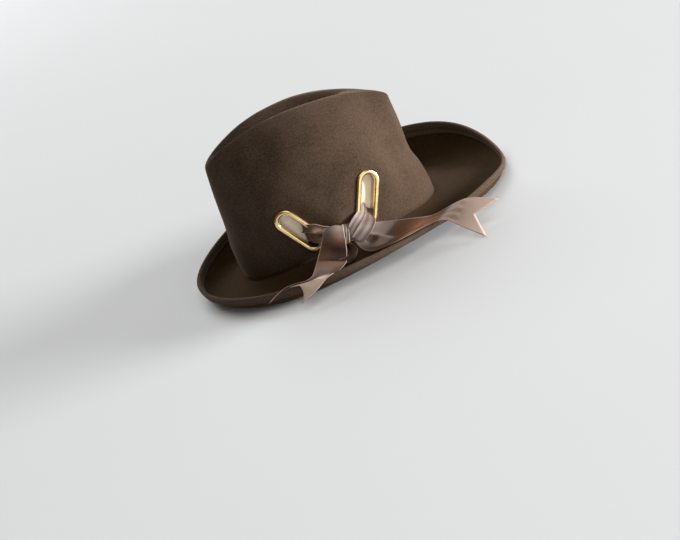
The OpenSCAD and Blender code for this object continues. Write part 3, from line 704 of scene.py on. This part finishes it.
# Lining stitches
# Overcast stitches of cream cotton thread along the seam between the side lining and the tip.
# Each one crosses the seam and lies on the inner face of the satin.
overcast_count, overcast_l = 36, 3
lining_cotton = cotton("cream_cotton_thread", "#e2d7bd", "#b9ab8b")
overcast_a = np.arange(overcast_count) * 360 / overcast_count
section = crown_curve(overcast_a, lining_in + lining_t + 2 * clearance, lining_steps, lining_low)
seats, ahead = section[:, seam_row], section[:, seam_row + 1] - section[:, seam_row - 1]
overcast = sew("lining_thread", seats, ahead, -seats * [1, 1, 0], overcast_l, lining_cotton, sink=0.2)
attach(overcast, "hat")
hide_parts("lining_stitches")

# Sweatband
# A grosgrain ribbon that lies round the head opening and covers the seam.
# It is sewn along its lower edge, and its upper edge stands free of the lining.
sweatband_w, sweatband_t = 27, 0.8
sweat_in = collar_out + 0.4 + 2 * clearance
sweat_lean = 5.8
band_low, band_rows, band_r = -1.5, 9, 88
band_seam_z, band_stitch_l = 2, 4.5


def sweat_at(a, inset, dz):
    """Points of the band at a height over the crown foot, leaning inwards as they rise."""
    rise, drop = max(0.0, dz), min(0.0, dz)
    return wall_at(a, sweat_in + inset + sweat_lean * rise / sweatband_w, rise) + drop * upwards


def grosgrain(name, lit, deep):
    """Grosgrain: a heavy weft that makes upright ribs, drawn 2 mm apart so that they show."""
    finish, tree, shader = new_finish(name, {"Roughness": 0.6})
    way_round = add(tree, "UVMap", {"uv_map": "along"}).outputs[0]
    ribs = add(tree, "TexWave", {"bands_direction": "X"},
               {"Vector": way_round, "Scale": np.pi / 10 / (2 * MM)})
    tint(tree, shader, ribs.outputs["Fac"], linear(deep), linear(lit))
    raise_up(tree, shader, ribs.outputs["Fac"], strength=0.7, high=0.3)
    return finish


def lay_uv(piece, name, values):
    """Writes one pair of values for each point to a UV map."""
    layer = piece.data.uv_layers.new(name=name)
    index = np.zeros(len(piece.data.loops), np.int32)
    piece.data.loops.foreach_get("vertex_index", index)
    layer.data.foreach_set("uv", np.asarray(values, np.float32)[index].ravel())


heights = np.linspace(band_low, sweatband_w + band_low, band_rows)
face_in = np.stack([sweat_at(angles, sweatband_t, h) for h in heights], 1)
face_out = np.stack([sweat_at(angles, 0, h) for h in heights], 1)
sections = np.concatenate([face_in[:, ::-1], face_out], 1)
ribbed = grosgrain("brown_grosgrain", "#4a382c", "#2b1f17")
sweatband = make_ring("sweatband_grosgrain", sections, ribbed)
x, y, z = coordinates(sweatband).T
lay_uv(sweatband, "along", np.stack([np.arctan2(y, x) * band_r * MM, z * MM], -1))
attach(sweatband, "hat")
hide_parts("sweatband")
seats = sweat_at(seam_a, sweatband_t + 0.15, band_seam_z)
ahead = sweat_at(seam_a + 1, 0, band_seam_z) - sweat_at(seam_a - 1, 0, band_seam_z)
band_thread = sew("sweatband_thread", seats, ahead, seats * inwards, band_stitch_l, felt_thread, sink=0.15)
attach(band_thread, "hat")
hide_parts("sweatband_stitches")

# Eyelets
# Two long eyelets of pressed brass with a bright gilt finish. The domed flange lies on the felt, and the
# barrel goes through the slot and is clinched over a flat washer inside. Polished gilt under a clear
# lacquer gives warm, slightly soft reflections with a pale glint; handling leaves it unevenly bright.
washer_n = -felt_t - 0.9 - clearance
barrel_n = washer_n - 0.25
gilt, tree, shader = new_finish("gilt_brass", {"Metallic": 1.0, "Coat Weight": 1.0, "Coat Roughness": 0.14})
place = add(tree, "TexCoord").outputs["Object"]
rubbed = add(tree, "TexNoise", inputs={"Vector": place, "Scale": 1 / (8 * MM), "Detail": 1.0})
tint(tree, shader, rubbed.outputs[0], linear("#dcae62"), linear("#f8e4b4"))
add(tree, "MapRange", inputs={
    "Value": rubbed.outputs[0], "To Min": 0.2, "To Max": 0.3
}, to=shader.inputs["Roughness"])
half_w, dome_fullness = flange_w / 2, 0.8
dome = [heading(q) for q in np.linspace(172, 0, 25)]
eyelet_profile = [
    (barrel_r, barrel_n), (barrel_r, clearance - 1.0),
    *[(barrel_r + half_w * (1 + c), clearance + half_w * s ** dome_fullness) for c, s in dome],
    (barrel_r + barrel_t, clearance - 0.1), (barrel_r + barrel_t, barrel_n),
]
for name, frame_of in (("eyelet_rear", rear_frame), ("eyelet_front", front_frame)):
    sections = np.stack([slot_places(frame_of, r, z) for r, z in eyelet_profile], 1)
    eyelet = make_ring(name + "_gilt", sections, gilt)
    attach(eyelet, "hat")
    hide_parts(name)
for name in ("eyelet_washer_rear", "eyelet_washer_front"):
    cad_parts[name].data.materials.clear()
    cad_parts[name].data.materials.append(gilt)

# Ribbon behind the felt
# One length of sheer brown ribbon, 25 mm wide with firm pale selvedges, makes the whole trim.
# This hidden stretch runs behind the felt, from one eyelet to the other, with its width folded in.
ribbon_w, ribbon_t = 25.0, 0.2
selvedge_t, selvedge_from = 0.42, 0.97
ribbon_across = 36
run_in = 0.8 - barrel_n
run_drop, run_half_w = 9, 7


def organza(name, tones, selvedge_colour):
    """Sheer nylon organza with firm pale edges. Each point's tone lies on a scale from beige through grey and
    taupe to a deep red-brown;
    it is partly dye along the ribbon and partly painted light and shade, with pale grey for sheen and deep
    brown for shade in folds and hollows. It gives a soft sheen; the threads are drawn 0.8 mm apart so that
    the weave shows."""
    pitch, shot_size, shot_share = np.pi / 10 / (0.8 * MM), 9 * MM, 0.14
    finish, tree, shader = new_finish(name, {
        "Roughness": 0.55, "Specular IOR Level": 0.1, "Sheen Weight": 0.03, "Sheen Tint": linear("#d9c6ba")})
    cloth = add(tree, "UVMap", {"uv_map": "cloth"}).outputs[0]
    axes = add(tree, "SeparateXYZ", inputs={0: cloth})
    warp = add(tree, "TexWave", {"bands_direction": "X"}, {"Vector": cloth, "Scale": pitch})
    weft = add(tree, "TexWave", {"bands_direction": "Y"}, {"Vector": cloth, "Scale": pitch})
    weave = add(tree, "Math", {"operation": "MAXIMUM"}, {0: warp.outputs["Fac"], 1: weft.outputs["Fac"]})
    shot = add(tree, "TexNoise", inputs={"Vector": cloth, "Scale": 1 / shot_size, "Detail": 3.0})
    dye_and_light_at = add(tree, "Attribute", {"attribute_name": "dye_and_painted_light"})
    depth = add(tree, "Math", {"operation": "MULTIPLY_ADD"},
                {0: shot.outputs[0], 1: shot_share, 2: dye_and_light_at.outputs["Fac"]})
    even = add(tree, "Math", {"operation": "SUBTRACT"}, {0: depth.outputs[0], 1: shot_share / 2})
    ground = add(tree, "ValToRGB", inputs={0: even.outputs[0]})
    ramp = ground.color_ramp.elements
    ramp[0].color, ramp[1].color = linear(tones[0]), linear(tones[-1])
    for k, tone in enumerate(tones[1:-1], 1):
        ramp.new(k / (len(tones) - 1)).color = linear(tone)
    edge = add(tree, "Math", {"operation": "ABSOLUTE"}, {0: axes.outputs[0]})
    selvedge = add(tree, "MapRange", inputs={
        "Value": edge.outputs[0], "From Min": (selvedge_from - 0.02) * ribbon_w / 2 * MM,
        "From Max": selvedge_from * ribbon_w / 2 * MM})
    tint(tree, shader, selvedge.outputs[0], ground.outputs[0], linear(selvedge_colour))
    clear = add(tree, "MapRange", inputs={"Value": weave.outputs[0], "To Min": 0.8, "To Max": 0.87})
    add(tree, "Math", {"operation": "MAXIMUM"},
        {0: clear.outputs[0], 1: selvedge.outputs[0]}, shader.inputs["Alpha"])
    raise_up(tree, shader, weave.outputs[0], strength=0.08, high=0.1)
    return finish


sheer = organza(
    "sheer_brown_organza", ("#baa499", "#9b918d", "#6b5d57", "#7a4f35", "#2a1912"), "#9b8981")
# A copy of the organza with deeper darks and a paler beige, for the rear tail and the turn: painted shade.
sheer_shaded = organza(
    "sheer_brown_organza_painted_shade", ("#cbb6a9", "#857974", "#5c4e49", "#4c3226", "#22130d"), "#9b8981")


def wave_height(width, folds, room):
    """Height of the folds that take up the ribbon's width where it is drawn in to a smaller one."""
    s = np.linspace(0, 1, 60)
    low, high = 0.0, room
    for _ in range(24):
        h = (low + high) / 2
        y = h * np.cos(np.pi * folds * 2 * s)
        length = np.hypot(np.diff(s) * width, np.diff(y)).sum()
        low, high = (h, high) if length < ribbon_w else (low, h)
    return low


def along_rows(curve, x):
    """Points of a curve at the row numbers x, whole or not."""
    i = np.clip(np.floor(x).astype(int), 0, len(curve) - 2)
    return curve[i] + (curve[i + 1] - curve[i]) * (x - i)[..., None]


def face_normals(points):
    return unit(np.cross(np.gradient(points, axis=0), np.gradient(points, axis=1)))


def lay_dye_and_light(piece, depth):
    """Writes each point's tone, which is partly how deep the dye is and partly painted light and shade."""
    layer = piece.data.attributes.new("dye_and_painted_light", "FLOAT", "POINT")
    layer.data.foreach_set("value", np.asarray(depth, np.float32))


def ribbon_piece(name, left, right, middle=None, bulge=0.0, cut=0.0, folds=2, room=0.0, per_span=12,
                 shape=None, dye_and_painted_light=0.4, finish=sheer):
    """Stretch of ribbon between a left and a right edge, folded across where it is drawn in."""
    l = spline(np.array(left, float), [per_span] * (len(left) - 2))
    r = spline(np.array(right, float), [per_span] * (len(right) - 2))
    rows, across = len(l) - 1, ribbon_across
    if middle is None:
        mid = (l + r) / 2 + unit(np.cross(np.gradient(l + r, axis=0), r - l)) * bulge
    else:
        mid = spline(np.array(middle, float), [per_span] * (len(middle) - 2))
    s = np.linspace(-1, 1, across + 1)[None, :]
    i = np.arange(rows + 1)[:, None]
    x = i * (1 - cut * (1 - np.abs(s)))
    side = s[..., None] + 0 * x[..., None]
    points = (along_rows(l, x) * side * (side - 1) / 2 + along_rows(mid, x) * (1 - side ** 2)
              + along_rows(r, x) * side * (side + 1) / 2)
    width = np.linalg.norm(r - l, axis=1)
    height = np.array([wave_height(w, folds, room) if room else 0.0 for w in width])
    wave = np.interp(x, np.arange(rows + 1), height) * np.cos(np.pi * folds * s) * (1 - 0.3 * s ** 8)
    n = face_normals(points)
    points = points + n * wave[..., None]
    if shape is not None:
        points = shape(points, n, x / rows, s + 0 * x)
    n = face_normals(points)
    thick = np.where(np.abs(s) > selvedge_from, selvedge_t, ribbon_t)[..., None] / 2
    w, off = across + 1, (rows + 1) * (across + 1)
    rim = [(j * w, (j + 1) * w) for j in range(rows)]
    rim += [((j + 1) * w + across, j * w + across) for j in range(rows)]
    rim += [(k + 1, k) for k in range(across)]
    rim += [(rows * w + k, rows * w + k + 1) for k in range(across)]
    faces = [*grid_faces(rows + 1, w), *grid_faces(rows + 1, w, start=off, turn=True)]
    faces += [(b, a, off + a, off + b) for a, b in rim]
    piece = make_piece(name, [points + n * thick, points - n * thick], faces, finish)
    run = np.concatenate([[0], np.cumsum(np.linalg.norm(np.diff((l + r) / 2, axis=0), axis=1))])
    flat = np.stack([0 * x + s * ribbon_w / 2, np.interp(x, np.arange(rows + 1), run)], -1)
    lay_uv(piece, "cloth", np.tile(flat.reshape(-1, 2) * MM, (2, 1)))
    depth = dye_and_painted_light(x / rows, s + 0 * x) if callable(dye_and_painted_light) else dye_and_painted_light + 0 * x
    lay_dye_and_light(piece, np.tile(depth.reshape(-1), 2))
    return piece


run_a = eyelet_mid_a + 360 + eyelet_half_a * (2 * (0.14 + 0.72 * np.arange(7) / 6) - 1)
run_sections = crown_curve(run_a, run_in, crown_steps)
upper = [at_height(c, eyelet_z - run_drop + run_half_w) for c in run_sections]
lower = [at_height(c, eyelet_z - run_drop - run_half_w) for c in run_sections]
inner_run = ribbon_piece("ribbon_inner_run_sheer", upper, lower, folds=2, room=0.25, per_span=8)
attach(inner_run, "hat")
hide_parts("ribbon_inner_run")

# Ribbon leads
# Out of each eyelet the ribbon comes doubled, one fold over the other, and goes gathered into the knot.
# A small loop of it shows under the knot and goes over into the rear tail.
knot_z, knot_r = 33, 4.6
wall = wall_free(eyelet_mid_a + 0.6 + 360, knot_z)
knot = wall + unit(wall * [1, 1, 0]) * (knot_r + 2.4)


def by_knot(places):
    """Places given from the middle of the knot."""
    return knot + np.array(places)


# The tones given to the leads and the turn are partly painted light and shade: the rear leads and the turn
# are drawn darker, the front lead paler.
front_over = ribbon_piece(
    "ribbon_front_lead_sheer",
    by_knot([(27.2, 15.9, 16.4), (23.8, 13.4, 13.4), (16.3, -0.1, 13.9), (8.9, -3.1, 10.6),
        (5.6, -3.6, 7.4)]),
    by_knot([(28.9, 15.9, 13.8), (27.3, 13.4, 8.9), (24.0, -1.1, 8.1), (14.5, -7.1, 4.2), (2.3, -7.1, -4.5)]),
    bulge=-0.8, folds=2, room=0.25, dye_and_painted_light=0.38)
front_under = ribbon_piece(
    "ribbon_front_lead_fold",
    by_knot([(28.4, 16.4, 10.0), (27.0, 13.9, 7.2), (19.4, 1.4, 6.3), (10.3, -4.1, 1.9), (2.8, -3.1, -3.6)]),
    by_knot([(32.3, 16.9, 5.6), (31.6, 14.4, 0.7), (31.4, -2.1, -0.8), (23.1, -10.1, -5.3),
        (9.9, -8.1, -13.8)]),
    bulge=-0.8, folds=2, room=0.3, dye_and_painted_light=lambda v, s: 0.5 - 0.2 * ease(v, 0.5, 0.8))
rear_over = ribbon_piece(
    "ribbon_rear_lead_sheer",
    by_knot([(-25.0, 15.6, 20.6), (-35.2, 15.9, 22.4), (-32.6, 12.4, 21.4), (-27.4, 1.9, 24.1),
        (-20.9, 0.4, 21.9), (-14.6, 0.9, 14.9), (-0.8, 1.9, 8.6)]),
    by_knot([(-25.6, 15.4, 13.4), (-38.4, 15.9, 14.4), (-35.6, 12.4, 14.2), (-30.4, 1.9, 16.5),
        (-24.9, -2.1, 13.8), (-17.1, -0.1, 9.9), (-3.6, 1.4, 2.4)]),
    bulge=1.6, folds=1, room=0.25, dye_and_painted_light=0.58)
rear_under = ribbon_piece(
    "ribbon_rear_lead_fold",
    by_knot([(-25.6, 15.9, 13.0), (-36.6, 16.2, 13.8), (-33.8, 13.2, 12.9), (-29.1, 2.9, 14.6),
        (-22.8, 0.9, 12.9), (-16.7, 1.9, 10.1), (-2.8, 2.4, 3.9)]),
    by_knot([(-24.8, 16.2, 6.6), (-36.6, 16.6, 6.2), (-34.2, 13.2, 5.0), (-30.3, 2.9, 4.9),
        (-25.7, 0.4, 2.1), (-20.4, 1.4, -0.1), (-6.5, 1.9, -4.1)]),
    bulge=1.0, folds=2, room=0.2, dye_and_painted_light=0.6)
small_loop = ribbon_piece(
    "ribbon_turn_sheer",
    by_knot([(-4.4, -2.1, -12.0), (-3.7, -7.1, -13.2), (-4.8, -11.6, -15.2), (-9.3, -15.6, -15.7),
        (-16.6, -15.6, -13.7)]),
    by_knot([(0.2, -1.6, -8.9), (4.5, -6.6, -12.5), (2.7, -11.6, -18.0), (-5.9, -16.6, -21.6),
        (-16.1, -18.6, -18.3)]),
    bulge=1.0, dye_and_painted_light=0.96, finish=sheer_shaded)
for piece, node, flat in (
        (front_over, "ribbon_front_lead", (0.011, 0.032)), (front_under, None, (0.0135, 0.036)),
        (rear_over, "ribbon_rear_lead", (0.010, 0.054)), (rear_under, None, (0.011, 0.054))):
    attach(piece, "hat")
    if node:
        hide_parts(node)
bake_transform(small_loop)

# Knot
# The same ribbon drawn into a narrow pleated band and wound once round the leads.
# It leans back a little, and its edges are turned under.
band_half, band_high, band_deep, band_waist, band_run = 4.0, 10.0, 4.4, 0.12, 8
pleat_high, pleat_count, edge_under, band_dye = 0.35, 3, 0.9, 0.36
lean_c, lean_s = heading(21.5)
knot_axis, knot_side = np.array([lean_s, 0, lean_c]), np.array([lean_c, 0, -lean_s])
out = np.array([0, -1.0, 0])
wound = np.radians(np.arange(0, 361, 6))
s = np.linspace(-1, 1, 25)
pleat = pleat_high * np.cos(s * pleat_count * np.pi + 0.5) - edge_under * s ** 6
points = np.array([[
    knot + knot_side * band_half * x * (1 - band_waist * np.cos(t) ** 2)
    + knot_axis * (band_high + y) * np.sin(t) + out * (band_deep + y) * np.cos(t)
    for x, y in zip(s, pleat)] for t in wound])
band = make_piece("ribbon_knot_sheer", points, grid_faces(len(wound), len(s)), sheer)
flat = np.array([[(x * ribbon_w / 2, t * band_run) for x in s] for t in wound]).reshape(-1, 2) * MM
lay_uv(band, "cloth", flat)
lay_dye_and_light(band, np.full(len(flat), band_dye))
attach(band, "hat")
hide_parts("ribbon_knot")

# Tails
# The two ends of the ribbon. Each leaves the knot in soft folds, lies over the rim and is cut to a swallow
# tail. Here v runs from 0 at the knot to 1 at the points, and s from -1 at the left edge to 1 at the right.
rear_notch, front_notch = 0.165, 0.07
tail_lowest = 1.1


def by_rim(rows):
    """Places given by an angle and an offset from the rim there, kept clear of the floor."""
    rows = np.array(rows)
    places = rim_point(rows[:, 0]) + rows[:, 1:]
    places[:, 2] = np.maximum(places[:, 2], tail_lowest)
    return places


def rear_folds(points, n, v, s):
    """Swell below the knot, then a hollow with a lip where the tail turns out over the brim."""
    swell = 1.0 * bell(v - 0.17, 0.07) * np.cos(s * 1.5)
    hollow = 3.4 * ease(v, 0.2, 0.36) * (1 - ease(v, 0.385, 0.43)) * ease(s, -1.2, 0.5)
    lip = 1.4 * bell(v - 0.44, 0.03) * np.cos(s * 1.2)
    return points + n * (swell - hollow + lip)[..., None]


def rear_dye_and_light(v, s):
    """Taupe at the knot, deepening to dark brown down to the hollow as painted shade, then beige, with a
    brown left point; the beige and brown of the points are partly dye and partly painted light and shade.
    """
    # The deepening to dark brown down to the hollow is painted shade.
    upper = 0.42 + 0.6 * ease(v, 0.1, 0.32) * lerp(0.8, 1, ease(s, -0.9, 0.2))
    lower = 0.58 - 0.06 * ease(v, 0.46, 0.54) + 0.14 * bell(v - 0.55, 0.06) * ease(s, -0.2, 0.5)
    ends = np.where(s < -0.35, 0.66, 0.02)
    return lerp(lerp(upper, lower, ease(v, 0.4, 0.45)), ends, ease(v, 0.58, 0.66))


def front_folds(points, n, v, s):
    """Fold that runs out of the knot over the lower half of the tail, with a short hollow below it."""
    w = (v - 0.108) / 0.257
    below = s - (-0.07 + 0.17 * w + 0.4 * w ** 3)
    root = ease(v, 0.07, 0.11)
    fold = 1.6 * bell(below, 0.12) * root * (1 - ease(v, 0.3, 0.4))
    hollow = 2.4 * bell(below - 0.3, 0.2) * root * (1 - ease(v, 0.15, 0.21))
    ripple = 0.35 * np.sin(s * 7 + v * 9) * ease(v, 0.3, 0.4) * (1 - ease(v, 0.5, 0.7))
    return points - n * (fold - hollow + ripple)[..., None]


def front_dye_and_light(v, s):
    """Grey at the knot, partly painted sheen, with a painted shadow in the hollow, red-brown in the middle
    and beige at the points; the red-brown and beige are partly dye and partly painted light.
    """
    root = 0.16 + 0.34 * ease(s, 0.2, 0.9) * (1 - ease(v, 0.2, 0.3))
    # The dark patch in the hollow below the fold is painted shadow.
    hollow = 0.62 * bell(v - 0.175, 0.035) * bell(s - 0.22, 0.25)
    later = 0.1 * ease(s, -0.1, 0.2) * (1 - ease(s, 0.5, 0.8))
    return root + hollow + 0.51 * ease(v - later, 0.19, 0.3) - 0.65 * ease(v, 0.66, 0.77)


rear_tail = ribbon_piece(
    "ribbon_rear_tail_sheer",
    by_knot([(-14.1, -1.2, 14.6), (-15.2, -4.4, 18.1), (-23.3, -7.8, 6.1), (-31.7, -12.6, -3.2),
        (-38.9, -24.6, -8.0), (-46.4, -39.6, -10.5), (-64.4, -32.4, -9.6), (-75.9, -28.4, -11.1),
        (-92.2, -28.0, -18.8)]),
    by_knot([(1.0, -1.6, 9.6), (1.7, -5.4, 13.6), (-2.4, -9.1, -1.8), (-6.0, -14.6, -15.6),
        (-14.7, -24.6, -19.9), (-27.4, -44.1, -11.8), (-36.6, -47.1, -14.6), (-46.3, -50.1, -19.3),
        (-63.2, -50.1, -23.9)]),
    by_knot([(-6.4, -2.0, 12.5), (-6.7, -5.6, 16.4), (-12.8, -10.1, 2.8), (-18.6, -15.1, -9.0),
        (-26.5, -25.6, -13.9), (-36.6, -43.1, -12.4), (-55.1, -37.1, -12.4), (-65.9, -33.4, -12.5),
        (-76.0, -31.6, -21.4)]),
    cut=rear_notch, folds=1, room=0.5, shape=rear_folds, dye_and_painted_light=rear_dye_and_light, finish=sheer_shaded)
front_tail = ribbon_piece(
    "ribbon_front_tail_sheer",
    [*by_knot([(6.4, -1, 6.4), (28.8, 1.5, -1.8)]),
     *by_rim([(292.5, -13.1, 18.8, 11.1), (292.5, 4.2, 6.9, 9), (300, -1.2, -4.6, 6.4),
              (307.5, -1.1, -17.1, 11), (315, -0.7, -32.5, 10.9), (315, 18.3, -44.5, 2)])],
    [*by_knot([(4.7, -0.8, -6.0), (5.1, -8.9, -13.7), (13.6, -18.8, -20.7), (34.4, -39.1, -12.8)]),
     *by_rim([(292.5, -1.3, -4.1, 2.4), (303, -4.4, -10.6, 2.0), (313, -17.8, -49.5, -5.5),
              (315, -7.1, -72.5, -15)])],
    bulge=1, cut=front_notch, folds=3, room=0.5, shape=front_folds, dye_and_painted_light=front_dye_and_light)
for piece, body, node, root, away, length in (
        (rear_tail, "rear_tail", "ribbon_rear_tail", (-8.05, -2, 13.45), (-8, -14, -12), 0.100),
        (front_tail, "front_tail", "ribbon_front_tail", (6.4, -1, 2), (20, -6, -6), 0.150)):
    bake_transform(piece)
    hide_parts(node)

# Floor and light
# A plain pale floor of matt paint, whose tone drifts very slightly from place to place. The soft light comes
# from a low window at the right, from behind and from the ceiling, with a weak fill at the front.
floor_half, floor_z, drift_size = 30.0, -0.3, 1 / 1.5
floor_paint, tree, shader = new_finish("pale_floor_paint", {"Roughness": 0.9})
place = add(tree, "TexCoord").outputs["Object"]
cast = add(tree, "TexNoise", inputs={"Vector": place, "Scale": 1 / drift_size})
tint(tree, shader, cast.outputs[0], linear("#dae0e8"), linear("#dee4eb"))
square = ((-1, -1), (1, -1), (1, 1), (-1, 1))
corners = [(x * floor_half / MM, y * floor_half / MM, floor_z) for x, y in square]
floor = make_piece("floor", corners, [(0, 1, 2, 3)], floor_paint)
world = bpy.data.worlds.new("room")
scene.world = world
world.use_nodes = True
daylight = world.node_tree.nodes["Background"].inputs
daylight["Color"].default_value = linear("#fff2e0")
daylight["Strength"].default_value = 0.12
aim = np.array([0, 0, 0.06])


def soft_box(name, towards, distance, size, watts, colour):
    """Area light that looks at the hat, with its distance and size in metres."""
    lamp = bpy.data.lights.new(name, "AREA")
    lamp.shape, lamp.size, lamp.size_y = "RECTANGLE", *size
    lamp.energy, lamp.color = watts, linear(colour)[:3]
    light = bpy.data.objects.new(name, lamp)
    facing = unit(np.array(towards, float))
    side = unit(np.cross([0, 0, 1], facing))
    light.matrix_world = Matrix(np.column_stack([side, np.cross(facing, side), facing]).tolist()).to_4x4()
    light.location = facing * distance + aim
    scene.collection.objects.link(light)


soft_box("window", (0.94, -0.27, 0.085), 4.5, (2.4, 0.9), 660, "#fffaf4")
soft_box("back", (-0.25, 0.8, 0.6), 5.5, (4.0, 3.0), 205, "#fffdf8")
soft_box("ceiling", (0.15, -0.4, 0.9), 3.5, (3.0, 3.0), 36, "#fff8f0")
soft_box("fill", (0.3, -0.95, 0.15), 3.6, (3.0, 1.6), 26, "#fff8f0")
scene.view_settings.view_transform = "Standard"
